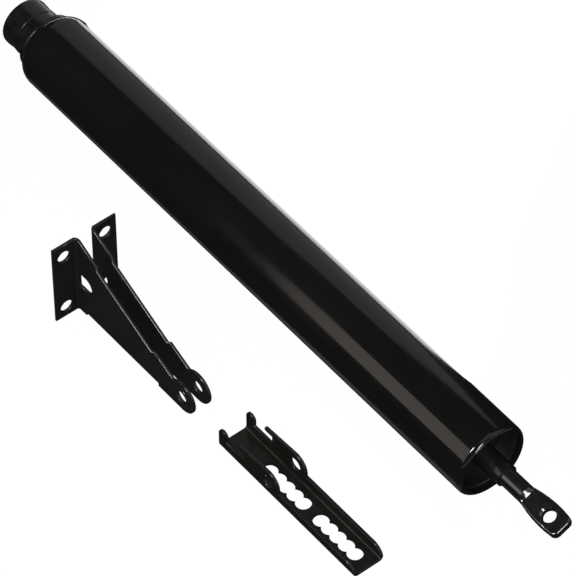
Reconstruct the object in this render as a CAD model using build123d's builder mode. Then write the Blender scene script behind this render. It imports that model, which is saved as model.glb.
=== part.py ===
"""
Storm door closer kit: the closer itself, its jamb bracket and its door bracket,
lying side by side on a flat surface.

+X runs along the closer, from the end plug to the rod's eye. +Z is up and z = 0 is
the surface that all three pieces lie on. The origin is under the middle of the kit.
All lengths are in millimetres.
"""

import os
from math import cos, radians, sin, sqrt

from build123d import *

os.makedirs("parts", exist_ok=True)

# Clearances
slip_gap = 0.05         # radial gap of a running or push fit
face_gap = 0.1          # gap between faces that turn past each other
seal_gap = 0.1          # gap between a sliding seal and the wall that it wipes
cut_margin = 1.0        # how far a cut reaches past the face that it opens
same_place = 0.01       # two places or radii nearer than this count as one

# Tube: closed by a spun shoulder at one end, with a rolled rim at the other
tube_diameter = 38.1
tube_wall = 1.2
tube_length = 320.6
shoulder_length = 7.5
neck_face_radius = 15.0
neck_hole_radius = 10.0
rim_roll_radius = 2.65

# End plug: rounded cap, low step and collar outside, threaded spigot inside
cap_radius = 12.6
cap_length = 11.6
cap_edge_radius = 2.0
step_radius = 12.3
step_length = 5.6
collar_radius = 15.0
collar_length = 3.2
collar_edge = 0.6
gasket_thickness = 1.4
gasket_radius = 12.4
plug_nut_thickness = 3.4
plug_nut_across_flats = 24.5
spigot_end = 0.8        # spigot left showing beyond its nut
pin_hole_diameter = 6.5
pin_hole_from_end = 7.6
pin_hole_roll = 27.8    # degrees above the horizontal, seen along the closer

# Needle valve in the plug, beside the pin hole
valve_offset = 6.6
valve_screw_radius = 2.3
valve_screw_length = 11.0
valve_head_recess = 0.8
valve_slot_width = 0.9
valve_slot_depth = 1.1
valve_needle_length = 2.6
valve_needle_foot_radius = 1.6
valve_needle_tip_radius = 0.35
valve_ring_section = 0.45
valve_ring_from_head = 6.4
air_hole_radius = 0.75

# Rod-end closure: dished cap, guide bush with a nose, felt ring and spring seat
dish_wall = 1.2
dish_depth = 12.0
dish_bead = 2.3         # width of the bead that the rolled rim holds
dish_bead_radius = 1.0
dish_skirt = 6.0
dish_setback = 0.4
bush_nose_radius = 5.5
bush_nose_out = 9.4     # nose showing beyond the rim
bush_body_radius = 6.5
bush_body_front = 2.2
bush_flange_radius = 10.0
bush_flange_thickness = 3.2
felt_radius = 8.6
felt_thickness = 2.8
seat_thickness = 6.0
seat_flange_radius = 16.6
seat_flange_thickness = 2.4
seat_collar_radius = 10.0
seat_collar_length = 5.0

# Rod with its pressed eye
rod_radius = 4.5
rod_out = 47.4          # rod showing beyond the rim, door shut
eye_ramp_length = 2.0
eye_length = 24.8       # from the foot of the ramp to the tip
eye_neck_width = 9.4
eye_width = 12.4
eye_widest_from_tip = 9.9
eye_tip_width = 10.8
eye_thickness = 4.6
eye_corner_radius = 3.0
eye_edge_radius = 0.9
eye_overlap = 0.5       # length of the flat that is buried in the ramp
eye_step = 0.05         # how far the ramp's end stands proud of the flat
eye_hole_diameter = 6.6
eye_hole_lead = 0.9     # chamfer round the hole on both faces
eye_lead_angle = 45.0
eye_hole_from_tip = 9.4
eye_roll = 22.0         # degrees that the flat is rolled from the bench, seen along the rod
rod_spigot_radius = 3.0
rod_nut_thickness = 4.2
rod_nut_across_flats = 10.0
rod_spigot_end = 0.9

# Piston and its stack, from the valve side forwards
piston_start = 12.6     # from the tube's neck to the back washer, door shut
back_washer_thickness = 1.2
back_washer_radius = 8.5
cup_thickness = 5.2
cup_lip = 1.1           # thickness of the lip at its free edge
cup_lip_root = 2.5      # thickness of the lip where it leaves the floor
cup_floor = 1.8
cup_draft = 0.5         # how much narrower the cup is at its floor
piston_thickness = 10.0
piston_wall_gap = 0.25
piston_groove_width = 3.0
piston_groove_depth = 1.6
piston_ring_gap = 0.2
spring_washer_thickness = 1.6
spring_washer_radius = 15.2

# Return spring
spring_mean_radius = 12.2
spring_wire_radius = 1.15
spring_turns = 14
spring_end_gap = 0.25

# Jamb bracket: one folded blank with two outward flanges, two arms and a web
sheet = 1.5
fold_radius = 1.2       # inside radius of every fold in both brackets
jamb_height = 47.8
jamb_flange_width = 12.6
jamb_arm_gap = 7.3
jamb_reach = 77.0       # wall face to pin centre
jamb_eye_radius = 8.6
jamb_throat_run = 6.1   # pin centre back to the corner where the top edge meets the eye
jamb_throat_radius = 1.6
jamb_pin_diameter = 6.75
jamb_top_straight = 3.6
jamb_waist_start = 16.2
jamb_waist_step = 0.4
jamb_waist_drop = 6.7   # top edge at the waist's start, below the bracket's top
jamb_waist_depth = 2.8  # how far the waist steps down there
jamb_waist_low = 19.1   # height of the waist's far end
jamb_nose_run = 19.6    # pin centre back to the step up to the nose
jamb_nose_ramp = 2.3
jamb_nose_top = 20.9
jamb_web_start = 8.2
jamb_web_run = 17.2     # pin centre back to the web's end
jamb_relief = 1.2       # width of the relief notch at the start of the web's folds
jamb_window_low = 17.3
jamb_window_high = 25.7
jamb_window_end = 12.0
jamb_rib_start = 18.0   # pressed rib in each arm, tapering towards the eye
jamb_rib_high = 26.5
jamb_rib_low = 9.5
jamb_rib_run = 24.0     # pin centre back to the rib's tip
jamb_rib_tip_high = 7.8
jamb_rib_tip_low = 4.6
jamb_rib_corner = 1.2
jamb_rib_height = 0.35
jamb_hole_diameter = 6.6
jamb_hole_from_arm = 6.5
jamb_hole_low = 6.3     # lower screw holes above the bench
jamb_hole_high = 7.7    # upper screw holes below the bracket's top
coin_width = 2.0        # raised ring round each pin hole
coin_height = 0.35

# Door bracket: channel with two scalloped slots, ears, posts and J slots
door_width = 16.9
door_length = 94.0
door_wall_height = 7.0
door_post_width = 5.8
door_post_height = 12.8
door_ear_from_end = 34.6
door_ear_height = 8.5
door_ear_radius = 7.2
door_pin_diameter = 6.75
door_finger_tip = 13.0  # bracket end to the finger's tip
door_slot_end = 18.3    # bracket end to the closed end of the J slot
door_finger_under = 11.9
door_finger_top = 14.1
door_finger_radius = 1.0
door_end_radius = 6.4
lobe_diameter = 7.5
lobe_count = 5          # in each slot
slot_first_lobe = 25.7  # bracket end to the first lobe of the first slot
slot_last_lobe = 9.4    # last lobe of the second slot to the other end
slot_gap = 12.2         # last lobe of the first slot to first lobe of the second

# Places on the bench, from the outer end of the plug and from the tube's axis
jamb_from_end = 142.9
jamb_aside = 72.2
door_from_end = 246.4
door_aside = 69.1

# Worked out from the dimensions above
tube_radius = tube_diameter / 2
bore_radius = tube_radius - tube_wall
plug_out = cap_length + step_length + collar_length
overall_length = plug_out + tube_length + rod_out
jamb_half_width = jamb_arm_gap / 2 + sheet + jamb_flange_width
overall_width = tube_radius + jamb_aside + jamb_half_width
end_x = -overall_length / 2
neck_x = end_x + plug_out
rim_x = neck_x + tube_length
tip_x = end_x + overall_length
tube_y = overall_width / 2 - tube_radius
tube_z = tube_radius
tube_axis = Axis((0, tube_y, tube_z), (1, 0, 0))
jamb_x = end_x + jamb_from_end
jamb_y = tube_y - jamb_aside
door_x = end_x + door_from_end
door_y = tube_y - door_aside


def along_plane(x):
    """Plane through the tube's axis: sketch x runs along the closer, sketch y is the radius."""
    return Plane(origin=(x, tube_y, tube_z), x_dir=(1, 0, 0), z_dir=(0, -1, 0))


def cross_plane(x):
    """Plane square to the tube's axis at station x."""
    return Plane(origin=(x, tube_y, tube_z), x_dir=(0, 1, 0), z_dir=(1, 0, 0))


def save(part, name):
    """Label a finished piece and write its STEP file."""
    part.label = name
    export_step(part, f"parts/{name}.step")
    print(name, round(part.volume, 1))


# Barrel tube: spun shoulder and neck at the closed end, rolled rim at the open end
inner_roll = rim_roll_radius - tube_wall
inner_neck_radius = neck_face_radius - tube_wall
with BuildPart() as barrel_tube:
    with BuildSketch(along_plane(neck_x)):
        with BuildLine():
            shoulder_high = (shoulder_length, tube_radius)
            inner_high = (shoulder_length, bore_radius)
            inner_low = (tube_wall, inner_neck_radius)
            Line((0, neck_hole_radius), (0, neck_face_radius))
            TangentArc(shoulder_high, (0, neck_face_radius), tangent=(-1, 0))
            Line(shoulder_high, (tube_length - rim_roll_radius, tube_radius))
            roll_end = (tube_length, tube_radius - rim_roll_radius)
            TangentArc((tube_length - rim_roll_radius, tube_radius), roll_end, tangent=(1, 0))
            Line(roll_end, (tube_length - tube_wall, roll_end[1]))
            inner_roll_start = (tube_length - tube_wall - inner_roll, bore_radius)
            TangentArc((tube_length - tube_wall, roll_end[1]), inner_roll_start, tangent=(0, 1))
            Line(inner_roll_start, inner_high)
            TangentArc(inner_high, inner_low, tangent=(-1, 0))
            Line(inner_low, (tube_wall, neck_hole_radius))
            Line((tube_wall, neck_hole_radius), (0, neck_hole_radius))
        make_face()
    revolve(axis=tube_axis)
save(barrel_tube.part, "barrel_tube")


# End plug: cap, step and collar outside, spigot through the neck, pin hole and valve bore
spigot_radius = neck_hole_radius - slip_gap
nut_x = neck_x + tube_wall + gasket_thickness
spigot_x = nut_x + plug_nut_thickness + spigot_end
pin_hole_x = end_x + pin_hole_from_end
roll = radians(pin_hole_roll)
pin_direction = Vector(0, cos(roll), sin(roll))
valve_direction = Vector(0, sin(roll), -cos(roll))
valve_centre = Vector(end_x, tube_y, tube_z) + valve_direction * valve_offset
valve_bore_radius = valve_screw_radius + slip_gap
valve_face_x = end_x + valve_head_recess
valve_seat_x = valve_face_x + valve_screw_length + face_gap
pin_plane = Plane(origin=(pin_hole_x, tube_y, tube_z), x_dir=(1, 0, 0), z_dir=pin_direction)


def valve_plane(x):
    """Plane square to the valve screw's axis at station x."""
    return Plane(origin=(x, valve_centre.Y, valve_centre.Z), x_dir=(0, 1, 0), z_dir=(1, 0, 0))


with BuildPart() as end_plug:
    with BuildSketch(along_plane(end_x)):
        with BuildLine():
            Polyline(
                (0, 0), (0, cap_radius), (cap_length, cap_radius), (cap_length, step_radius),
                (cap_length + step_length, step_radius), (cap_length + step_length, collar_radius),
                (plug_out, collar_radius), (plug_out, spigot_radius),
                (spigot_x - end_x, spigot_radius), (spigot_x - end_x, 0), close=True,
            )
        plug_face = make_face()
        cap_corner = plug_face.vertices().group_by(Axis.X)[0].sort_by(Axis.Y)[-1]
        fillet(cap_corner, cap_edge_radius)
    revolve(axis=tube_axis)
    collar_rims = end_plug.edges().filter_by(GeomType.CIRCLE).filter_by(
        lambda rim: abs(rim.radius - collar_radius) < same_place
    )
    chamfer(collar_rims, collar_edge)
    with BuildSketch(pin_plane):
        Circle(pin_hole_diameter / 2)
    extrude(amount=collar_radius, both=True, mode=Mode.SUBTRACT)
    with BuildSketch(valve_plane(end_x)):
        Circle(valve_bore_radius)
    extrude(amount=valve_seat_x - end_x, mode=Mode.SUBTRACT)
    with BuildSketch(valve_plane(valve_seat_x)):
        Circle(air_hole_radius)
    extrude(amount=spigot_x - valve_seat_x, mode=Mode.SUBTRACT)
save(end_plug.part, "end_plug")


# Flat gasket between the neck and the plug's nut
with BuildPart() as plug_gasket:
    with BuildSketch(cross_plane(neck_x + tube_wall)):
        Circle(gasket_radius)
        Circle(spigot_radius + slip_gap, mode=Mode.SUBTRACT)
    extrude(amount=gasket_thickness)
save(plug_gasket.part, "plug_gasket")


# Hexagon nut that draws the plug's collar against the neck
with BuildPart() as plug_nut:
    with BuildSketch(cross_plane(nut_x)):
        RegularPolygon(plug_nut_across_flats / 2, 6, major_radius=False)
        Circle(spigot_radius + slip_gap, mode=Mode.SUBTRACT)
    extrude(amount=plug_nut_thickness)
save(plug_nut.part, "plug_nut")


# Valve screw: slotted head, groove for its ring and a needle that meters the air
ring_x = valve_face_x + valve_ring_from_head
needle_x = valve_face_x + valve_screw_length - valve_needle_length
with BuildPart() as valve_screw:
    with BuildSketch(valve_plane(valve_face_x)):
        Circle(valve_screw_radius)
    extrude(amount=valve_screw_length - valve_needle_length)
    with BuildSketch(valve_plane(needle_x)):
        Circle(valve_needle_foot_radius)
    with BuildSketch(valve_plane(needle_x + valve_needle_length)):
        Circle(valve_needle_tip_radius)
    loft()
    with BuildSketch(valve_plane(valve_face_x)):
        Rectangle(2 * (valve_screw_radius + cut_margin), valve_slot_width)
    extrude(amount=valve_slot_depth, mode=Mode.SUBTRACT)
    with BuildSketch(valve_plane(ring_x - valve_ring_section)):
        Circle(valve_screw_radius + cut_margin)
        Circle(valve_screw_radius - 2 * valve_ring_section, mode=Mode.SUBTRACT)
    extrude(amount=2 * valve_ring_section, mode=Mode.SUBTRACT)
save(valve_screw.part, "valve_screw")


# Ring in the valve screw's groove
ring_centre_radius = valve_screw_radius - valve_ring_section
with BuildPart() as valve_ring:
    with BuildSketch(
        Plane(origin=(ring_x, valve_centre.Y, valve_centre.Z), x_dir=(1, 0, 0), z_dir=(0, -1, 0))
    ):
        with Locations((0, ring_centre_radius)):
            Circle(valve_ring_section)
    revolve(axis=Axis((ring_x, valve_centre.Y, valve_centre.Z), (1, 0, 0)))
save(valve_ring.part, "valve_ring")


# Dished cap behind the rolled rim: bead, cup wall and floor with the bush's hole
dish_front_x = rim_x - tube_wall - inner_roll - dish_setback
dish_floor_x = rim_x - dish_depth
dish_rim_radius = bore_radius - slip_gap
cup_radius = dish_rim_radius - dish_bead
with BuildPart() as rod_end_dish:
    with BuildSketch(along_plane(dish_floor_x)):
        with BuildLine():
            front = dish_front_x - dish_floor_x
            Polyline(
                (-dish_wall, bush_body_radius + slip_gap), (0, bush_body_radius + slip_gap),
                (0, cup_radius), (front, cup_radius), (front, dish_rim_radius),
                (front - dish_skirt, dish_rim_radius),
                (front - dish_skirt, cup_radius + dish_wall),
                (-dish_wall, cup_radius + dish_wall), close=True,
            )
        dish_face = make_face()
        bead_corners = dish_face.vertices().group_by(Axis.X)[-1]
        fillet(bead_corners, dish_bead_radius)
        floor_corner = dish_face.vertices().group_by(Axis.X)[0].sort_by(Axis.Y)[-1]
        fillet(floor_corner, dish_wall)
    revolve(axis=tube_axis)
save(rod_end_dish.part, "rod_end_dish")


# Guide bush: flange behind the dish, body through its floor and a nose along the rod
bush_back_x = dish_floor_x - dish_wall - bush_flange_thickness
nose_x = rim_x + bush_nose_out
rod_hole_radius = rod_radius + slip_gap
with BuildPart() as guide_bush:
    with BuildSketch(along_plane(bush_back_x)):
        with BuildLine():
            body_front = bush_flange_thickness + dish_wall + bush_body_front
            shoulder_end = body_front + bush_body_radius - bush_nose_radius
            nose_end = nose_x - bush_back_x
            Polyline(
                (0, rod_hole_radius), (0, bush_flange_radius),
                (bush_flange_thickness, bush_flange_radius),
                (bush_flange_thickness, bush_body_radius), (body_front, bush_body_radius),
                (shoulder_end, bush_nose_radius), (nose_end, bush_nose_radius),
                (nose_end, rod_hole_radius), close=True,
            )
        make_face()
    revolve(axis=tube_axis)
save(guide_bush.part, "guide_bush")


# Front spring seat: closes the bush's back, pockets the felt ring and centres the spring
seat_front_x = bush_back_x
seat_back_x = seat_front_x - seat_thickness
spring_front_x = seat_front_x - seat_flange_thickness
with BuildPart() as front_spring_seat:
    with BuildSketch(along_plane(seat_back_x)):
        with BuildLine():
            flange_back = seat_thickness - seat_flange_thickness
            collar_back = seat_thickness - seat_flange_thickness - seat_collar_length
            pocket = seat_thickness - felt_thickness
            Polyline(
                (collar_back, rod_hole_radius + slip_gap), (collar_back, seat_collar_radius),
                (flange_back, seat_collar_radius), (flange_back, seat_flange_radius),
                (seat_thickness, seat_flange_radius), (seat_thickness, felt_radius + slip_gap),
                (pocket, felt_radius + slip_gap), (pocket, rod_hole_radius + slip_gap), close=True,
            )
        make_face()
    revolve(axis=tube_axis)
save(front_spring_seat.part, "front_spring_seat")


# Felt ring that wipes the rod, in the seat's pocket
with BuildPart() as felt_ring:
    with BuildSketch(cross_plane(seat_front_x - felt_thickness)):
        Circle(felt_radius)
        Circle(rod_hole_radius, mode=Mode.SUBTRACT)
    extrude(amount=felt_thickness)
save(felt_ring.part, "felt_ring")


# Piston stack: back washer, cup, piston, piston ring and the washer that the spring pushes
washer_x = neck_x + piston_start
cup_x = washer_x + back_washer_thickness
piston_x = cup_x + cup_thickness
spring_washer_x = piston_x + piston_thickness
spring_back_x = spring_washer_x + spring_washer_thickness
stack_hole_radius = rod_spigot_radius + slip_gap
piston_radius = bore_radius - piston_wall_gap

with BuildPart() as back_washer:
    with BuildSketch(cross_plane(washer_x)):
        Circle(back_washer_radius)
        Circle(stack_hole_radius, mode=Mode.SUBTRACT)
    extrude(amount=back_washer_thickness)
save(back_washer.part, "back_washer")

cup_outer_radius = bore_radius - seal_gap
with BuildPart() as piston_cup:
    with BuildSketch(along_plane(cup_x)):
        with BuildLine():
            Polyline(
                (cup_thickness - cup_floor, stack_hole_radius),
                (cup_thickness - cup_floor, cup_outer_radius - cup_lip_root),
                (0, cup_outer_radius - cup_lip), (0, cup_outer_radius),
                (cup_thickness, cup_outer_radius - cup_draft), (cup_thickness, stack_hole_radius),
                close=True,
            )
        make_face()
    revolve(axis=tube_axis)
    with BuildSketch(cross_plane(cup_x)):
        Circle(back_washer_radius)
        Circle(stack_hole_radius, mode=Mode.SUBTRACT)
    extrude(amount=cup_thickness - cup_floor)
save(piston_cup.part, "piston_cup")

groove_radius = piston_radius - piston_groove_depth
with BuildPart() as piston:
    with BuildSketch(cross_plane(piston_x)):
        Circle(piston_radius)
        Circle(stack_hole_radius, mode=Mode.SUBTRACT)
    extrude(amount=piston_thickness)
    groove_x = piston_x + (piston_thickness - piston_groove_width) / 2
    with BuildSketch(cross_plane(groove_x)):
        Circle(piston_radius + cut_margin)
        Circle(groove_radius, mode=Mode.SUBTRACT)
    extrude(amount=piston_groove_width, mode=Mode.SUBTRACT)
save(piston.part, "piston")

with BuildPart() as piston_ring:
    with BuildSketch(cross_plane(groove_x + slip_gap)):
        Circle(bore_radius - piston_ring_gap)
        Circle(groove_radius + slip_gap, mode=Mode.SUBTRACT)
    extrude(amount=piston_groove_width - 2 * slip_gap)
save(piston_ring.part, "piston_ring")

with BuildPart() as spring_washer:
    with BuildSketch(cross_plane(spring_washer_x)):
        Circle(spring_washer_radius)
        Circle(rod_hole_radius, mode=Mode.SUBTRACT)
    extrude(amount=spring_washer_thickness)
save(spring_washer.part, "spring_washer")


# Return spring: pushes the piston back from the front seat
spring_start_x = spring_back_x + spring_wire_radius + spring_end_gap
spring_span = spring_front_x - spring_wire_radius - spring_end_gap - spring_start_x
with BuildPart() as return_spring:
    with BuildLine() as spring_line:
        Helix(
            spring_span / spring_turns, spring_span, spring_mean_radius,
            center=(spring_start_x, tube_y, tube_z), direction=(1, 0, 0),
        )
    with BuildSketch(Plane(origin=spring_line.line @ 0, z_dir=spring_line.line % 0)):
        RegularPolygon(spring_wire_radius, 6)
    sweep(path=spring_line.line, is_frenet=True)
save(return_spring.part, "return_spring")


# Rod: long shank, spigot for the piston stack and the pressed eye at the door-frame end
rod_shoulder_x = spring_washer_x + face_gap
rod_nut_front_x = washer_x - face_gap
rod_end_x = rod_nut_front_x - rod_nut_thickness - rod_spigot_end
ramp_x = tip_x - eye_length
flat_x = ramp_x + eye_ramp_length
eye_rad = radians(eye_roll)
eye_across = (0, cos(eye_rad), sin(eye_rad))
eye_plane = Plane(
    origin=(flat_x, tube_y, tube_z), x_dir=(1, 0, 0), z_dir=(0, -sin(eye_rad), cos(eye_rad))
)
flat_plane = Plane(origin=(flat_x, tube_y, tube_z), x_dir=eye_across, z_dir=(1, 0, 0))
with BuildPart() as piston_rod:
    # Flat eye with its long edges rounded, before the shank joins it
    with BuildSketch(eye_plane):
        with BuildLine():
            neck = eye_neck_width / 2 - eye_step
            tip = eye_length - eye_ramp_length
            widest = tip - eye_widest_from_tip
            ThreePointArc((-eye_overlap, neck), (widest, eye_width / 2), (tip, eye_tip_width / 2))
            Line((tip, eye_tip_width / 2), (tip, -eye_tip_width / 2))
            ThreePointArc((tip, -eye_tip_width / 2), (widest, -eye_width / 2), (-eye_overlap, -neck))
            Line((-eye_overlap, -neck), (-eye_overlap, neck))
        eye_face = make_face()
        fillet(eye_face.vertices().group_by(Axis.X)[-1], eye_corner_radius)
    extrude(amount=eye_thickness / 2, both=True)
    buried_end_x = flat_x - eye_overlap
    long_edges = piston_rod.faces().filter_by(eye_plane).edges().filter_by(
        lambda edge: edge.center().X > buried_end_x + same_place
    )
    fillet(long_edges, eye_edge_radius)
    # Ramp from the round shank to the flat, then the shank and its spigot
    with BuildSketch(cross_plane(ramp_x)):
        Circle(rod_radius)
    with BuildSketch(flat_plane):
        RectangleRounded(
            eye_neck_width + 2 * eye_step, eye_thickness + 2 * eye_step, eye_edge_radius
        )
    loft()
    with BuildSketch(cross_plane(rod_shoulder_x)):
        Circle(rod_radius)
    extrude(amount=ramp_x - rod_shoulder_x)
    with BuildSketch(cross_plane(rod_end_x)):
        Circle(rod_spigot_radius)
    extrude(amount=rod_shoulder_x - rod_end_x)
    with BuildSketch(eye_plane):
        with Locations((tip - eye_hole_from_tip, 0)):
            Circle(eye_hole_diameter / 2)
    extrude(amount=eye_thickness, both=True, mode=Mode.SUBTRACT)
    for side in (1, -1):
        with BuildSketch(eye_plane.offset(side * eye_thickness / 2)):
            with Locations((tip - eye_hole_from_tip, 0)):
                Circle(eye_hole_diameter / 2 + eye_hole_lead)
        extrude(amount=-side * eye_hole_lead, taper=eye_lead_angle, mode=Mode.SUBTRACT)
save(piston_rod.part, "piston_rod")


# Nut on the rod's spigot, behind the piston stack
with BuildPart() as rod_nut:
    with BuildSketch(cross_plane(rod_nut_front_x - rod_nut_thickness)):
        RegularPolygon(rod_nut_across_flats / 2, 6, major_radius=False)
        Circle(stack_hole_radius, mode=Mode.SUBTRACT)
    extrude(amount=rod_nut_thickness)
save(rod_nut.part, "rod_nut")


# Jamb bracket
# Side outline of one arm: u runs out from the wall, v is the height above the bench
arm_out = jamb_arm_gap / 2 + sheet
fold_out = fold_radius + sheet
throat_u = jamb_reach - jamb_throat_run
throat_v = jamb_eye_radius + sqrt(jamb_eye_radius**2 - jamb_throat_run**2)
nose_u = jamb_reach - jamb_nose_run
jamb_web_end = jamb_reach - jamb_web_run
rib_tip_u = jamb_reach - jamb_rib_run
waist_v = jamb_height - jamb_waist_drop
jamb_side = Plane(origin=(jamb_x, jamb_y, 0), x_dir=(1, 0, 0), z_dir=(0, -1, 0))


def arm_side(offset):
    """Plane of an arm's face, offset towards the near side of the bench."""
    return jamb_side.offset(offset)


with BuildPart() as jamb_bracket:
    # Near arm as a flat plate, open under the web's folds
    with BuildSketch(arm_side(jamb_arm_gap / 2)):
        with BuildLine():
            throat = (throat_u, throat_v)
            ThreePointArc(
                throat, (jamb_reach + jamb_eye_radius, jamb_eye_radius), (jamb_reach, 0)
            )
            Polyline(
                (jamb_reach, 0), (jamb_web_end, 0), (jamb_web_end, fold_out),
                (jamb_web_start, fold_out), (jamb_web_start - jamb_relief, 0), (fold_out, 0),
                (fold_out, jamb_height), (jamb_top_straight, jamb_height),
                (jamb_waist_start, waist_v),
                (jamb_waist_start + jamb_waist_step, waist_v - jamb_waist_depth),
                (nose_u - jamb_nose_ramp, jamb_waist_low), (nose_u, jamb_nose_top), throat,
            )
        arm_face = make_face()
        throat_corner = arm_face.vertices().filter_by(
            lambda corner: abs(corner.X - throat_u) < same_place
        )
        fillet(throat_corner, jamb_throat_radius)
        with Locations((jamb_reach, jamb_eye_radius)):
            Circle(jamb_pin_diameter / 2, mode=Mode.SUBTRACT)
        window_radius = (jamb_window_high - jamb_window_low) / 2
        window_mid = (jamb_window_high + jamb_window_low) / 2
        with Locations((jamb_window_end - window_radius, window_mid)):
            Circle(window_radius, mode=Mode.SUBTRACT)
        window_run = jamb_window_end - window_radius - fold_out
        with Locations((fold_out + window_run / 2, window_mid)):
            Rectangle(window_run, 2 * window_radius, mode=Mode.SUBTRACT)
    extrude(amount=sheet)
    # Rib pressed into the arm: raised outside and hollow inside
    for face_offset, rib_mode in ((arm_out, Mode.ADD), (jamb_arm_gap / 2, Mode.SUBTRACT)):
        with BuildSketch(arm_side(face_offset)):
            with BuildLine():
                Polyline(
                    (jamb_rib_start, jamb_rib_high), (jamb_rib_start, jamb_rib_low),
                    (rib_tip_u, jamb_rib_tip_low), (rib_tip_u, jamb_rib_tip_high), close=True,
                )
            rib_face = make_face()
            fillet(rib_face.vertices(), jamb_rib_corner)
        extrude(amount=jamb_rib_height, mode=rib_mode)
    # Raised ring round the near pin hole
    with BuildSketch(arm_side(arm_out)):
        with Locations((jamb_reach, jamb_eye_radius)):
            Circle(jamb_pin_diameter / 2 + coin_width)
            Circle(jamb_pin_diameter / 2, mode=Mode.SUBTRACT)
    extrude(amount=coin_height)
    # Near flange with its fold, seen from above
    with BuildSketch(Plane(origin=(jamb_x, jamb_y, 0))):
        with BuildLine():
            Polyline(
                (0, -arm_out - jamb_flange_width), (sheet, -arm_out - jamb_flange_width),
                (sheet, -arm_out - fold_radius),
            )
            TangentArc((sheet, -arm_out - fold_radius), (fold_out, -arm_out), tangent=(0, 1))
            Line((fold_out, -arm_out), (fold_out, -jamb_arm_gap / 2))
            TangentArc((fold_out, -jamb_arm_gap / 2), (0, -jamb_arm_gap / 2 - fold_out), tangent=(-1, 0))
            Line((0, -jamb_arm_gap / 2 - fold_out), (0, -arm_out - jamb_flange_width))
        make_face()
    extrude(amount=jamb_height)
    hole_y = -arm_out - jamb_hole_from_arm
    flange_plane = Plane(origin=(jamb_x, jamb_y, 0), x_dir=(0, 1, 0), z_dir=(1, 0, 0))
    with BuildSketch(flange_plane):
        with Locations((hole_y, jamb_hole_low), (hole_y, jamb_height - jamb_hole_high)):
            Circle(jamb_hole_diameter / 2)
    extrude(amount=sheet, mode=Mode.SUBTRACT)
    # Half of the web with its fold
    with BuildSketch(flange_plane.offset(jamb_web_start)):
        with BuildLine():
            Polyline((0, 0), (-arm_out + fold_out, 0))
            TangentArc((-arm_out + fold_out, 0), (-arm_out, fold_out), tangent=(-1, 0))
            Line((-arm_out, fold_out), (-jamb_arm_gap / 2, fold_out))
            TangentArc(
                (-jamb_arm_gap / 2, fold_out), (-jamb_arm_gap / 2 + fold_radius, sheet), tangent=(0, -1)
            )
            Polyline((-jamb_arm_gap / 2 + fold_radius, sheet), (0, sheet), (0, 0))
        make_face()
    extrude(amount=jamb_web_end - jamb_web_start)
    mirror(about=Plane(origin=(0, jamb_y, 0), x_dir=(1, 0, 0), z_dir=(0, 1, 0)))
save(jamb_bracket.part, "jamb_bracket")


# Door bracket
# Channel cut to its side outline, then the two scalloped slots and the pin holes
door_side = Plane(origin=(door_x, door_y, 0), x_dir=(1, 0, 0), z_dir=(0, -1, 0))
door_top = door_ear_height + door_ear_radius
half_width = door_width / 2
lobe_run = (door_length - slot_first_lobe - slot_gap - slot_last_lobe) / 2
lobe_pitch = lobe_run / (lobe_count - 1)
second_slot = slot_first_lobe + lobe_run + slot_gap
slot_lobes = [first + lobe_pitch * i for first in (slot_first_lobe, second_slot) for i in range(lobe_count)]
with BuildPart() as door_bracket:
    with BuildSketch(Plane(origin=(door_x, door_y, 0), x_dir=(0, 1, 0), z_dir=(1, 0, 0))):
        with BuildLine():
            Polyline((-half_width, door_top), (-half_width, fold_out))
            TangentArc((-half_width, fold_out), (-half_width + fold_out, 0), tangent=(0, -1))
            Line((-half_width + fold_out, 0), (half_width - fold_out, 0))
            TangentArc((half_width - fold_out, 0), (half_width, fold_out), tangent=(1, 0))
            Polyline(
                (half_width, fold_out), (half_width, door_top), (half_width - sheet, door_top),
                (half_width - sheet, fold_out),
            )
            TangentArc(
                (half_width - sheet, fold_out), (half_width - fold_out, sheet), tangent=(0, -1)
            )
            Line((half_width - fold_out, sheet), (-half_width + fold_out, sheet))
            TangentArc(
                (-half_width + fold_out, sheet), (-half_width + sheet, fold_out), tangent=(-1, 0)
            )
            Polyline(
                (-half_width + sheet, fold_out), (-half_width + sheet, door_top),
                (-half_width, door_top),
            )
        make_face()
    extrude(amount=door_length)
    with BuildSketch(door_side):
        with BuildLine():
            post_radius = door_post_width / 2
            post_shoulder = door_post_height - post_radius
            ear_right = door_ear_from_end + door_ear_radius
            Line((0, 0), (0, post_shoulder))
            ThreePointArc(
                (0, post_shoulder), (post_radius, door_post_height), (door_post_width, post_shoulder)
            )
            Polyline(
                (door_post_width, post_shoulder), (door_post_width, door_wall_height),
                (door_slot_end, door_wall_height), (door_slot_end, door_finger_under),
                (door_finger_tip, door_finger_under), (door_finger_tip, door_finger_top),
                (door_ear_from_end, door_top),
            )
            TangentArc((door_ear_from_end, door_top), (ear_right, door_ear_height), tangent=(1, 0))
            Polyline(
                (ear_right, door_ear_height), (ear_right, door_wall_height),
                (door_length - door_end_radius, door_wall_height),
            )
            TangentArc(
                (door_length - door_end_radius, door_wall_height),
                (door_length, door_wall_height - door_end_radius), tangent=(1, 0),
            )
            Polyline((door_length, door_wall_height - door_end_radius), (door_length, 0), (0, 0))
        outline = make_face()
        finger_corners = outline.vertices().filter_by(
            lambda corner: abs(corner.X - door_finger_tip) < same_place
        )
        fillet(finger_corners, door_finger_radius)
    extrude(amount=half_width, both=True, mode=Mode.INTERSECT)
    with BuildSketch(Plane(origin=(door_x, door_y, 0))):
        with Locations([(lobe, 0) for lobe in slot_lobes]):
            Circle(lobe_diameter / 2)
    extrude(amount=sheet, mode=Mode.SUBTRACT)
    with BuildSketch(door_side):
        with Locations((door_ear_from_end, door_ear_height)):
            Circle(door_pin_diameter / 2)
    extrude(amount=half_width, both=True, mode=Mode.SUBTRACT)
save(door_bracket.part, "door_bracket")
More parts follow.
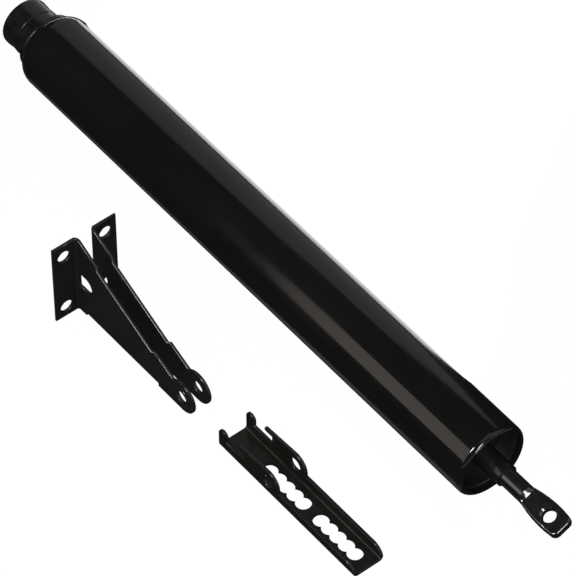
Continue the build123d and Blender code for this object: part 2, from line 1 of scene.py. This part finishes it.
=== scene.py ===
"""Looks of a storm door closer kit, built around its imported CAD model.

The closer, its jamb bracket and its door bracket lie side by side on a pale bench.
Lengths are in metres. +X runs along the closer to the rod's eye and +Z is up.
"""

import math

import bmesh
import bpy
from mathutils import Matrix, Vector


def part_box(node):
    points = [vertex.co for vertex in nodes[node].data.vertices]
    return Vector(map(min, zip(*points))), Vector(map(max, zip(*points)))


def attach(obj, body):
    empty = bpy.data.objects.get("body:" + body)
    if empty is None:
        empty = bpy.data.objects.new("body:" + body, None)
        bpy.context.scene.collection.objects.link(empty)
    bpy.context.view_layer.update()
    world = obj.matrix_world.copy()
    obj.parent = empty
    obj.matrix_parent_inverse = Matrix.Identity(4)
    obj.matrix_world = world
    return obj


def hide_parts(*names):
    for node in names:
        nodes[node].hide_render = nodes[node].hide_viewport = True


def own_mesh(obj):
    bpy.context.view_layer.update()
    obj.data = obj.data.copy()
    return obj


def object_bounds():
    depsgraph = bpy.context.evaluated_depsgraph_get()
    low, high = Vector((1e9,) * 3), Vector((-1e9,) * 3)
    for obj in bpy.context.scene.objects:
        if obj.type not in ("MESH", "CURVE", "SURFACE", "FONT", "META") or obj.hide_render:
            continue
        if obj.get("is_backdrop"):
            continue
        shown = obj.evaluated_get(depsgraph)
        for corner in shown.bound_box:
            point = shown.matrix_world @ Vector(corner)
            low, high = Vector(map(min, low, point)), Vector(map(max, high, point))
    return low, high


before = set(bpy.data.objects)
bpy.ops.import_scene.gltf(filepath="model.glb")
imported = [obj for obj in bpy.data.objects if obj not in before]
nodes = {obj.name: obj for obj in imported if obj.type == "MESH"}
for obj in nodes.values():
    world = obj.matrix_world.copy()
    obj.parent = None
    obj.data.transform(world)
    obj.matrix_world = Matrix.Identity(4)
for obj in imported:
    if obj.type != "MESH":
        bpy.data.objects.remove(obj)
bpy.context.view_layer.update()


# Barrel tube
# A drawn steel tube with a spun shoulder and a rolled rim, baked with gloss black enamel.
# The enamel has a faint orange peel, and a few soft scuffs along the tube dull it.

tube_enamel_colour = (0.004, 0.004, 0.0043, 1.0)
tube_enamel_dull = (0.006, 0.006, 0.0063, 1.0)
tube_roughness = (0.1, 0.2)
enamel_ior = 1.5
orange_peel_scale = 900.0
orange_peel_height = 0.01
scuff_scale = 26.0
scuff_range = (0.4, 0.75)      # noise values that run from clean to fully scuffed
noise_middle = (0.35, 0.65)    # values that most of a noise lies between


def new_material(name):
    """An empty node material with its output and one Principled shader, ready to be wired."""
    made = bpy.data.materials.new(name)
    made.use_nodes = True
    tree = made.node_tree
    tree.nodes.clear()
    output = tree.nodes.new("ShaderNodeOutputMaterial")
    shader = tree.nodes.new("ShaderNodeBsdfPrincipled")
    tree.links.new(shader.outputs["BSDF"], output.inputs["Surface"])
    return made, tree, shader


def object_noise(tree, scale, detail=3.0, roughness=0.5, stretch=(1.0, 1.0, 1.0)):
    """Noise on the piece's own coordinates, which are first scaled by stretch."""
    place = tree.nodes.new("ShaderNodeTexCoord")
    mapping = tree.nodes.new("ShaderNodeMapping")
    mapping.inputs["Scale"].default_value = stretch
    noise = tree.nodes.new("ShaderNodeTexNoise")
    noise.inputs["Scale"].default_value = scale
    noise.inputs["Detail"].default_value = detail
    noise.inputs["Roughness"].default_value = roughness
    tree.links.new(place.outputs["Object"], mapping.inputs["Vector"])
    tree.links.new(mapping.outputs["Vector"], noise.inputs["Vector"])
    return noise.outputs["Fac"]


def spread(tree, value, low, high, within=noise_middle):
    """Maps a noise value within a range onto low to high."""
    ranged = tree.nodes.new("ShaderNodeMapRange")
    ranged.inputs["From Min"].default_value = within[0]
    ranged.inputs["From Max"].default_value = within[1]
    ranged.inputs["To Min"].default_value = low
    ranged.inputs["To Max"].default_value = high
    tree.links.new(value, ranged.inputs["Value"])
    return ranged.outputs["Result"]


def drifting(tree, shader, value, colours, roughness, tinting=noise_middle, dulling=noise_middle):
    """Lets one noise value vary a surface from its first colour and roughness to its second."""
    share = spread(tree, value, 0.0, 1.0, tinting)
    mixed = tree.nodes.new("ShaderNodeMix")
    mixed.data_type = "RGBA"
    mixed.inputs["A"].default_value = colours[0]
    mixed.inputs["B"].default_value = colours[1]
    tree.links.new(share, mixed.inputs["Factor"])
    tree.links.new(mixed.outputs["Result"], shader.inputs["Base Color"])
    tree.links.new(spread(tree, value, *roughness, dulling), shader.inputs["Roughness"])


def relief(tree, shader, height, strength, distance=0.0002):
    """Bumps the shader's surface by a height value."""
    bump = tree.nodes.new("ShaderNodeBump")
    bump.inputs["Strength"].default_value = strength
    bump.inputs["Distance"].default_value = distance
    tree.links.new(height, bump.inputs["Height"])
    tree.links.new(bump.outputs["Normal"], shader.inputs["Normal"])


def give(material, *names):
    """Puts one material on whole CAD nodes."""
    for name in names:
        slots = nodes[name].material_slots
        if not slots:
            nodes[name].data.materials.append(material)
        for slot in slots:
            slot.material = material


gloss_enamel, tree, shader = new_material("gloss_enamel")
scuffs = object_noise(tree, scuff_scale, detail=6.0, roughness=0.65, stretch=(0.4, 1.0, 1.0))
tube_tones = (tube_enamel_colour, tube_enamel_dull)
drifting(tree, shader, scuffs, tube_tones, tube_roughness, dulling=scuff_range)
shader.inputs["IOR"].default_value = enamel_ior
relief(tree, shader, object_noise(tree, orange_peel_scale), orange_peel_height)
give(gloss_enamel, "barrel_tube")


# Rod-end dish
# A pressed steel cup behind the rolled rim. It has the same enamel, dulled where the
# spray reaches it less.

dish_colour = (0.006, 0.0063, 0.0062, 1.0)
dish_shade = (0.0042, 0.0044, 0.0043, 1.0)
dish_roughness = (0.22, 0.38)
dish_mottle_scale = 160.0
dish_peel_height = 0.05

dish_enamel, tree, shader = new_material("dish_enamel")
mottle = object_noise(tree, dish_mottle_scale, detail=4.0)
drifting(tree, shader, mottle, (dish_colour, dish_shade), dish_roughness)
relief(tree, shader, object_noise(tree, orange_peel_scale), dish_peel_height)
give(dish_enamel, "rod_end_dish")


# End plug and guide bush
# Both are zinc castings, coated satin black. The plug is turned, which leaves fine marks
# round it, and its corners are broken. The bush keeps the faint grain of its mould.

satin_colour = (0.0042, 0.0043, 0.0047, 1.0)
satin_worn = (0.0075, 0.0075, 0.0078, 1.0)
satin_roughness = (0.24, 0.34)
satin_grain_scale = 240.0
turning_scale = 700.0
turning_height = 0.03
moulded_colour = (0.0045, 0.0046, 0.0046, 1.0)
moulded_shade = (0.0065, 0.0065, 0.0064, 1.0)
moulded_roughness = (0.16, 0.24)
moulded_flow_scale = 180.0
moulded_grain_scale = 900.0
moulded_grain_height = 0.03
plug_rounding = 0.00025
rounding_steps = 3
merge_distance = 0.000001
flat_angle = math.radians(0.5)      # faces that meet flatter than this become one
sharp_angle = math.radians(70.0)    # edges that turn further than this are corners
aligned = 0.9999                    # cosine past which an edge counts as along an axis
sheet_thickness = 0.0015            # of the steel that the brackets are folded from
press_depth = 0.00035               # of the ribs pressed into the jamb bracket's arms
level_slack = 0.00002               # by which a height or a length may differ from these two


def inside(place, box):
    """Whether a place is within a box, given by its lowest and highest corners."""
    return box is not None and all(a <= b <= c for a, b, c in zip(box[0], place, box[1]))


def eased_copy(name, body, width, punched=None, pressed=None):
    """A merged copy of a CAD node with its outer edges rounded, which stands for the node.

    Edges that only cross the sheet's thickness stay sharp, as the punch leaves them, and so
    do those inside the box called punched. The low walls of what is pressed into the sheet
    inside the box called pressed are shaded into the faces beside them.
    """
    form = bmesh.new()
    form.from_mesh(nodes[name].data)
    bmesh.ops.remove_doubles(form, verts=form.verts, dist=merge_distance)
    bmesh.ops.dissolve_limit(form, angle_limit=flat_angle, verts=form.verts, edges=form.edges)
    bmesh.ops.recalc_face_normals(form, faces=form.faces)
    weight = form.edges.layers.float.new("bevel_weight_edge")
    soft = set()
    for face in form.faces:
        levels = [corner.co.y for corner in face.verts]
        low_wall = abs(max(levels) - min(levels) - press_depth) < level_slack
        if low_wall and all(inside(corner.co, pressed) for corner in face.verts):
            soft.update(face.edges)
    for edge in form.edges:
        sharp = len(edge.link_faces) == 2 and edge.calc_face_angle() > sharp_angle
        along = (edge.verts[0].co - edge.verts[1].co).normalized()
        straight = max(abs(part) for part in along) > aligned
        crossing = straight and abs(edge.calc_length() - sheet_thickness) < level_slack
        kept = crossing or edge in soft or all(inside(end.co, punched) for end in edge.verts)
        edge[weight] = 1.0 if sharp and edge.is_convex and not kept else 0.0
        edge.smooth = not sharp or edge in soft
    for face in form.faces:
        face.smooth = True
    mesh = bpy.data.meshes.new(name + "_eased")
    form.to_mesh(mesh)
    form.free()
    mesh.materials.clear()
    made = bpy.data.objects.new(name + "_eased", mesh)
    bpy.context.scene.collection.objects.link(made)
    rounding = made.modifiers.new("rounding", "BEVEL")
    rounding.limit_method = "WEIGHT"
    rounding.width = width
    rounding.segments = rounding_steps
    rounding.use_clamp_overlap = False
    made.modifiers.new("shading", "WEIGHTED_NORMAL").keep_sharp = True
    made.modifiers.new("triangles", "TRIANGULATE").keep_custom_normals = True
    seen = made.evaluated_get(bpy.context.evaluated_depsgraph_get())
    made.data = bpy.data.meshes.new_from_object(seen)
    made.modifiers.clear()
    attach(made, body)
    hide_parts(name)
    return made


satin_black, tree, shader = new_material("satin_black")
grain = object_noise(tree, satin_grain_scale, detail=5.0, roughness=0.6)
drifting(tree, shader, grain, (satin_colour, satin_worn), satin_roughness)
turning = object_noise(tree, turning_scale, stretch=(4.0, 1.0, 1.0))
relief(tree, shader, turning, turning_height)
eased_copy("end_plug", "barrel", plug_rounding).data.materials.append(satin_black)

moulded_black, tree, shader = new_material("moulded_black")
flow = object_noise(tree, moulded_flow_scale, detail=4.0)
drifting(tree, shader, flow, (moulded_colour, moulded_shade), moulded_roughness)
relief(tree, shader, object_noise(tree, moulded_grain_scale), moulded_grain_height)
give(moulded_black, "guide_bush")


# Piston rod
# A steel rod with a hot-pressed eye, blackened and oiled. The shank is smooth from
# running through the bush, with the finest lines along it.

rod_colour = (0.0035, 0.0036, 0.004, 1.0)
rod_shade = (0.0055, 0.0054, 0.0056, 1.0)
rod_roughness = (0.13, 0.2)
rod_ior = 1.9                  # blackened steel under oil mirrors more than enamel does
rod_patch_scale = 130.0
rod_line_scale = 500.0
rod_line_height = 0.02

rod_black, tree, shader = new_material("rod_black")
lines = object_noise(tree, rod_line_scale, detail=4.0, stretch=(0.05, 1.0, 1.0))
patches = object_noise(tree, rod_patch_scale, detail=4.0)
drifting(tree, shader, patches, (rod_colour, rod_shade), rod_roughness)
shader.inputs["IOR"].default_value = rod_ior
relief(tree, shader, lines, rod_line_height)
give(rod_black, "piston_rod")


# Inner metal pieces
# The nuts and washers are zinc-plated steel, and the valve screw is turned from brass.
# All but the screw are inside the closer and show only when it is taken apart.

plate_tones = ((0.62, 0.62, 0.6, 1.0), (0.45, 0.46, 0.47, 1.0))
plate_roughness = (0.25, 0.4)
plate_drift_scale = 180.0
brass_tones = ((0.72, 0.53, 0.24, 1.0), (0.5, 0.35, 0.14, 1.0))
brass_roughness = (0.2, 0.35)
brass_drift_scale = 300.0
brush_fineness = 6.0           # how much finer the brush marks are than the drift in colour
brush_height = 0.08


def bare_metal(name, tones, roughness, scale):
    """A brushed metal whose colour and roughness drift over the piece."""
    made, tree, shader = new_material(name)
    drifting(tree, shader, object_noise(tree, scale, detail=4.0), tones, roughness)
    shader.inputs["Metallic"].default_value = 1.0
    marks = object_noise(tree, brush_fineness * scale, stretch=(3.0, 1.0, 1.0))
    relief(tree, shader, marks, brush_height)
    return made


give(
    bare_metal("zinc_plate", plate_tones, plate_roughness, plate_drift_scale),
    "plug_nut", "back_washer", "spring_washer", "rod_nut",
)
give(
    bare_metal("turned_brass", brass_tones, brass_roughness, brass_drift_scale),
    "valve_screw",
)


# Return spring
# A coil of round oil-tempered wire between the front seat and the washer on the piston.
# It is wound here at one length and rides with the barrel; in the closer it shortens towards the
# seat as the rod comes out, and pushes the piston back.

wire_tones = ((0.24, 0.235, 0.225, 1.0), (0.12, 0.115, 0.11, 1.0))
wire_roughness = (0.3, 0.5)
wire_drift_scale = 220.0
wire_radius = 0.00115
coil_radius = 0.0122
coil_turns = 14.0
points_per_turn = 28
wire_sides = 14

low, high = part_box("return_spring")
tube_low, tube_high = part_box("barrel_tube")
axis_y = (tube_low[1] + tube_high[1]) / 2
axis_z = (tube_low[2] + tube_high[2]) / 2
coil_sizes = {
    "Turns": coil_turns,
    "Coil radius": coil_radius,
    "Wire radius": wire_radius,
    "Length": high[0] - low[0] - 2 * wire_radius,
}

winding = bpy.data.node_groups.new("spring_winding", "GeometryNodeTree")
for name in coil_sizes:
    winding.interface.new_socket(name, in_out="INPUT", socket_type="NodeSocketFloat")
winding.interface.new_socket("Geometry", in_out="OUTPUT", socket_type="NodeSocketGeometry")
sizes = winding.nodes.new("NodeGroupInput").outputs
helix = winding.nodes.new("GeometryNodeCurveSpiral")
helix.inputs["Resolution"].default_value = points_per_turn
winding.links.new(sizes["Turns"], helix.inputs["Rotations"])
winding.links.new(sizes["Coil radius"], helix.inputs["Start Radius"])
winding.links.new(sizes["Coil radius"], helix.inputs["End Radius"])
winding.links.new(sizes["Length"], helix.inputs["Height"])
section = winding.nodes.new("GeometryNodeCurvePrimitiveCircle")
section.inputs["Resolution"].default_value = wire_sides
winding.links.new(sizes["Wire radius"], section.inputs["Radius"])
drawn = winding.nodes.new("GeometryNodeCurveToMesh")
drawn.inputs["Fill Caps"].default_value = True
winding.links.new(helix.outputs["Curve"], drawn.inputs["Curve"])
winding.links.new(section.outputs["Curve"], drawn.inputs["Profile Curve"])
laid = winding.nodes.new("GeometryNodeTransform")
laid.inputs["Rotation"].default_value = (0.0, math.pi / 2, 0.0)
laid.inputs["Translation"].default_value = (low[0] + wire_radius, axis_y, axis_z)
winding.links.new(drawn.outputs["Mesh"], laid.inputs["Geometry"])
realized = winding.nodes.new("GeometryNodeRealizeInstances")
winding.links.new(laid.outputs["Geometry"], realized.inputs["Geometry"])
finished = winding.nodes.new("GeometryNodeSetMaterial")
finished.inputs["Material"].default_value = bare_metal(
    "tempered_wire", wire_tones, wire_roughness, wire_drift_scale
)
winding.links.new(realized.outputs["Geometry"], finished.inputs["Geometry"])
end = winding.nodes.new("NodeGroupOutput")
winding.links.new(finished.outputs["Geometry"], end.inputs["Geometry"])

spring = bpy.data.objects.new("wound_spring", bpy.data.meshes.new("wound_spring"))
bpy.context.scene.collection.objects.link(spring)
wound = spring.modifiers.new("winding", "NODES")
wound.node_group = winding
for item in winding.interface.items_tree:
    if item.name in coil_sizes:
        wound[item.identifier] = coil_sizes[item.name]
seen = spring.evaluated_get(bpy.context.evaluated_depsgraph_get())
spring.data = bpy.data.meshes.new_from_object(seen)
spring.modifiers.clear()
form = bmesh.new()
form.from_mesh(spring.data)
bmesh.ops.recalc_face_normals(form, faces=form.faces)
form.to_mesh(spring.data)
form.free()
spring.data.shade_smooth()
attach(spring, "barrel")
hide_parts("return_spring")
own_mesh(spring)


# Seals, piston and felt
# The cup, gasket and valve ring are nitrile rubber. The piston, its ring and the spring
# seat are moulded acetal, and a felt ring wipes the rod.

rubber_tones = ((0.017, 0.017, 0.018, 1.0), (0.04, 0.04, 0.041, 1.0))
rubber_roughness = (0.55, 0.75)
rubber_mottle_scale = 220.0
rubber_grain_height = 0.15
acetal_tones = ((0.8, 0.79, 0.74, 1.0), (0.7, 0.69, 0.64, 1.0))
acetal_roughness = (0.35, 0.5)
acetal_mottle_scale = 150.0
acetal_grain_height = 0.06
felt_tones = ((0.5, 0.48, 0.43, 1.0), (0.34, 0.32, 0.28, 1.0))
felt_roughness = (0.85, 0.98)
felt_mottle_scale = 900.0
felt_nap_height = 0.6
grain_fineness = 5.0           # how much finer the grain is than the mottling


def soft_finish(name, tones, roughness, scale, height):
    """A matte rubber, plastic or felt with its own mottling and grain."""
    made, tree, shader = new_material(name)
    mottle = object_noise(tree, scale, detail=5.0, roughness=0.6)
    drifting(tree, shader, mottle, tones, roughness)
    relief(tree, shader, object_noise(tree, grain_fineness * scale, detail=4.0), height)
    return made


give(
    soft_finish(
        "nitrile", rubber_tones, rubber_roughness, rubber_mottle_scale, rubber_grain_height
    ),
    "plug_gasket", "valve_ring", "piston_cup",
)
give(
    soft_finish(
        "acetal", acetal_tones, acetal_roughness, acetal_mottle_scale, acetal_grain_height
    ),
    "front_spring_seat", "piston", "piston_ring",
)
give(
    soft_finish("felt", felt_tones, felt_roughness, felt_mottle_scale, felt_nap_height),
    "felt_ring",
)


# Brackets
# Both are blanked and folded from 1.5 mm steel and dipped in black e-coat. Tumbling has
# rounded their long edges, which catch the lamps as thin bright lines.

jamb_coat_tones = ((0.0084, 0.0089, 0.0095, 1.0), (0.0115, 0.012, 0.0126, 1.0))
door_coat_tones = ((0.0066, 0.0067, 0.0059, 1.0), (0.0095, 0.0095, 0.0084, 1.0))
coat_roughness = (0.2, 0.26)
coat_grain_scale = 650.0
coat_grain_height = 0.006
handling_scale = 90.0
handling_range = (0.45, 0.8)   # noise values that run from fresh to fully handled
bracket_rounding = 0.00032
eye_length = 0.016             # end of each arm whose coined ring keeps its crisp edge
end_strip = 0.002              # plain metal at the channel's ends
slot_half = 0.0045             # half the width of the strip that the slots are punched in


def dipped_coat(name, tones):
    made, tree, shader = new_material(name)
    handling = object_noise(tree, handling_scale, detail=6.0, roughness=0.65)
    drifting(tree, shader, handling, tones, coat_roughness, tinting=handling_range)
    relief(tree, shader, object_noise(tree, coat_grain_scale, detail=2.0), coat_grain_height)
    return made


low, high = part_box("jamb_bracket")
arms = (low, (high[0] - eye_length, high[1], high[2]))
forked = eased_copy("jamb_bracket", "jamb_piece", bracket_rounding, pressed=arms)
forked.data.materials.append(dipped_coat("jamb_coat", jamb_coat_tones))

low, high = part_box("door_bracket")
middle = (low[1] + high[1]) / 2
slots = (
    (low[0] + end_strip, middle - slot_half, low[2] - level_slack),
    (high[0] - end_strip, middle + slot_half, low[2] + sheet_thickness + level_slack),
)
channel = eased_copy("door_bracket", "door_piece", bracket_rounding, punched=slots)
channel.data.materials.append(dipped_coat("door_coat", door_coat_tones))


# Bench and lights
# A white seamless bench that stays white to the camera and keeps a faint shadow. Black gloss
# is shaped by what it mirrors: a tall card and a lit sheet beyond the tube, a warm card on the
# brackets' side, plain cards at the rod's end and behind, and lamps for the folded edges.

bench_half = 4.0
bench_colour = (0.3, 0.3, 0.3, 1.0)
bench_glow = 0.78              # share of plain white in the bench where the camera looks at it
bench_white = 1.2              # strength of that white, so that bench and shadow add up to white
bench_in_gloss = 0.02          # strength of that white in the enamel's mirror image
room_light = 0.15              # soft light that the room gives every surface
room_in_gloss = 0.035          # strength of the room in the enamel's mirror image
sheet_lift = 0.001             # of a lit sheet above the bench
card_warm = (1.0, 0.95, 0.87, 1.0)
card_white = (1.0, 1.0, 1.0, 1.0)
card_brown = (1.0, 0.9, 0.78, 1.0)

bench_mesh = bpy.data.meshes.new("bench")
bench_mesh.from_pydata(
    [(-bench_half, -bench_half, 0), (bench_half, -bench_half, 0),
     (bench_half, bench_half, 0), (-bench_half, bench_half, 0)],
    [], [(0, 1, 2, 3)],
)
bench = bpy.data.objects.new("bench", bench_mesh)
bpy.context.scene.collection.objects.link(bench)
bench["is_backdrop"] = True


def calculate(tree, operation, first, second):
    """One step of arithmetic on two sockets or numbers."""
    step = tree.nodes.new("ShaderNodeMath")
    step.operation = operation
    for socket, value in zip(step.inputs, (first, second)):
        if isinstance(value, (int, float)):
            socket.default_value = value
        else:
            tree.links.new(value, socket)
    return step.outputs["Value"]


def ray_kinds(tree):
    """Whether a ray comes straight from the camera or through glass, and whether from gloss."""
    rays = tree.nodes.new("ShaderNodeLightPath")
    looked_at = calculate(
        tree, "MAXIMUM", rays.outputs["Is Camera Ray"], rays.outputs["Is Transmission Ray"]
    )
    return looked_at, rays.outputs["Is Glossy Ray"]


bench_finish = bpy.data.materials.new("bench_finish")
bench_finish.use_nodes = True
tree = bench_finish.node_tree
tree.nodes.clear()
output = tree.nodes.new("ShaderNodeOutputMaterial")
blended = tree.nodes.new("ShaderNodeMixShader")
cloth = tree.nodes.new("ShaderNodeBsdfDiffuse")
cloth.inputs["Color"].default_value = bench_colour
glow = tree.nodes.new("ShaderNodeEmission")
glow.inputs["Color"].default_value = card_white
looked_at, in_gloss = ray_kinds(tree)
shown = calculate(tree, "MAXIMUM", calculate(tree, "MULTIPLY", looked_at, bench_glow), in_gloss)
dimmed = calculate(tree, "MULTIPLY", in_gloss, bench_white - bench_in_gloss)
tree.links.new(shown, blended.inputs["Fac"])
tree.links.new(calculate(tree, "SUBTRACT", bench_white, dimmed), glow.inputs["Strength"])
tree.links.new(cloth.outputs["BSDF"], blended.inputs[1])
tree.links.new(glow.outputs["Emission"], blended.inputs[2])
tree.links.new(blended.outputs["Shader"], output.inputs["Surface"])
bench_mesh.materials.append(bench_finish)

world = bpy.data.worlds.new("studio")
world.use_nodes = True
tree = world.node_tree
backdrop = tree.nodes["Background"]
backdrop.inputs["Color"].default_value = card_white
looked_at, in_gloss = ray_kinds(tree)
dimmed = calculate(tree, "MULTIPLY", in_gloss, room_light - room_in_gloss)
level = calculate(tree, "SUBTRACT", room_light, dimmed)
tree.links.new(calculate(tree, "MAXIMUM", level, looked_at), backdrop.inputs["Strength"])
bpy.context.scene.world = world


def card(name, corners, faces, colour, strength):
    """A glowing card of the studio, which lights the pieces and which the camera doesn't see."""
    mesh = bpy.data.meshes.new(name)
    mesh.from_pydata(corners, [], faces)
    made = bpy.data.objects.new(name, mesh)
    bpy.context.scene.collection.objects.link(made)
    made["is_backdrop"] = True
    made.visible_camera = False
    made.visible_shadow = False
    finish = bpy.data.materials.new(name)
    finish.use_nodes = True
    finish.node_tree.nodes.clear()
    light = finish.node_tree.nodes.new("ShaderNodeEmission")
    light.inputs["Color"].default_value = colour
    light.inputs["Strength"].default_value = strength
    end = finish.node_tree.nodes.new("ShaderNodeOutputMaterial")
    finish.node_tree.links.new(light.outputs["Emission"], end.inputs["Surface"])
    mesh.materials.append(finish)


def lying(outline):
    """The corners of a sheet that lies just above the bench."""
    return [(x, y, sheet_lift) for x, y in outline]


card(
    "back_card",
    [(-0.75, 0.55, 0.045), (-0.29, 0.55, 0.045), (-0.20, 0.55, 0.045), (-0.105, 0.438, 0.236),
     (-0.085, 0.390, 0.318), (-0.165, 0.339, 0.406), (-0.30, 0.19, 0.53), (-0.75, 0.15, 0.545)],
    [(0, 1, 6, 7), (1, 2, 3, 4, 5, 6)], colour=card_warm, strength=0.43,
)
card(
    "white_sheet",
    lying([(0.100, 0.062), (0.082, 0.090), (0.039, 0.142), (-0.053, 0.300), (-0.075, 0.340),
           (-0.75, 0.340), (-0.75, 0.140), (-0.235, 0.140), (-0.20, 0.101), (-0.185, 0.062)]),
    [(3, 4, 5, 6, 7), (0, 1, 2, 3, 7, 8, 9)], colour=card_white, strength=2.6,
)
card(
    "edge_sheet",
    lying([(0.155, 0.0095), (0.155, 0.017), (-0.21, 0.017),
           (-0.21, 0.0145), (-0.03, 0.0135), (0.04, 0.0095)]),
    [(0, 1, 2, 3, 4, 5)], colour=card_white, strength=0.15,
)
card(
    "floor_card",
    lying([(0.27, -0.6), (0.9, -0.6), (0.9, 0.6), (0.27, 0.6)]),
    [(0, 1, 2, 3)], colour=card_white, strength=0.8,
)
card(
    "rear_card",
    [(0.7, 1.15, 0.3), (1.35, 0.5, 0.3), (1.2, 0.35, 1.05), (0.55, 1.0, 1.05)],
    [(0, 1, 2, 3)], colour=card_white, strength=0.6,
)
card(
    "side_card",
    [(-0.364, -0.645, 0.155), (0.15, -0.645, 0.155), (0.15, -0.447, 0.53), (-0.364, -0.447, 0.53)],
    [(0, 1, 2, 3)], colour=card_brown, strength=1.2,
)


def lamp(name, place, aim, width, height, radiance, shadow=True):
    """A flat lamp at a place, turned to what it lights, with the given light per area."""
    light = bpy.data.lights.new(name, "AREA")
    light.shape = "RECTANGLE"
    light.size = width
    light.size_y = height
    light.energy = radiance * math.pi * width * height
    light.use_shadow = shadow
    made = bpy.data.objects.new(name, light)
    bpy.context.scene.collection.objects.link(made)
    toward = (Vector(place) - Vector(aim)).normalized()
    made.matrix_world = (
        Matrix.Translation(place) @ toward.to_track_quat("Z", "Y").to_matrix().to_4x4()
    )
    made.visible_camera = False


lamp(
    "top_lamp", place=(0.5, 0.3, 1.2), aim=(0.0, 0.0, 0.0),
    width=1.0, height=1.0, radiance=0.5,
)
lamp(
    "front_lamp", place=(0.145, -0.623, 0.794), aim=(0.0, -0.05, 0.02),
    width=0.26, height=0.26, radiance=42.0, shadow=False,
)
lamp(
    "strip_lamp", place=(0.83, -0.014, 0.225), aim=(0.16, 0.035, 0.02),
    width=0.12, height=0.42, radiance=16.0, shadow=False,
)


# The place, the turn and the shift come from a fit to the photo's 576 by 576 pixels.

picture_side = 576
focal_pixels = 4972.33
optical_centre = (295.12, 288.47)
camera_place = (1.1402, -0.86385, 1.7189)
camera_look = (-0.5052, 0.4020, -0.7636)
camera_roll = -0.0076
sensor_width = 36.0

camera = bpy.data.cameras.new("camera")
camera.sensor_width = sensor_width
camera.lens = focal_pixels / picture_side * sensor_width
camera.shift_x = ((picture_side - 1) / 2 - optical_centre[0]) / picture_side
camera.shift_y = (optical_centre[1] - (picture_side - 1) / 2) / picture_side
camera.clip_start = 0.05
camera.clip_end = 20.0
camera_object = bpy.data.objects.new("camera", camera)
bpy.context.scene.collection.objects.link(camera_object)
turned = Vector(camera_look).to_track_quat("-Z", "Y").to_matrix().to_4x4()
camera_object.matrix_world = (
    Matrix.Translation(camera_place) @ turned @ Matrix.Rotation(camera_roll, 4, "Z")
)
bpy.context.scene.camera = camera_object
bpy.context.scene.view_settings.view_transform = "Standard"


low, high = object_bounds()
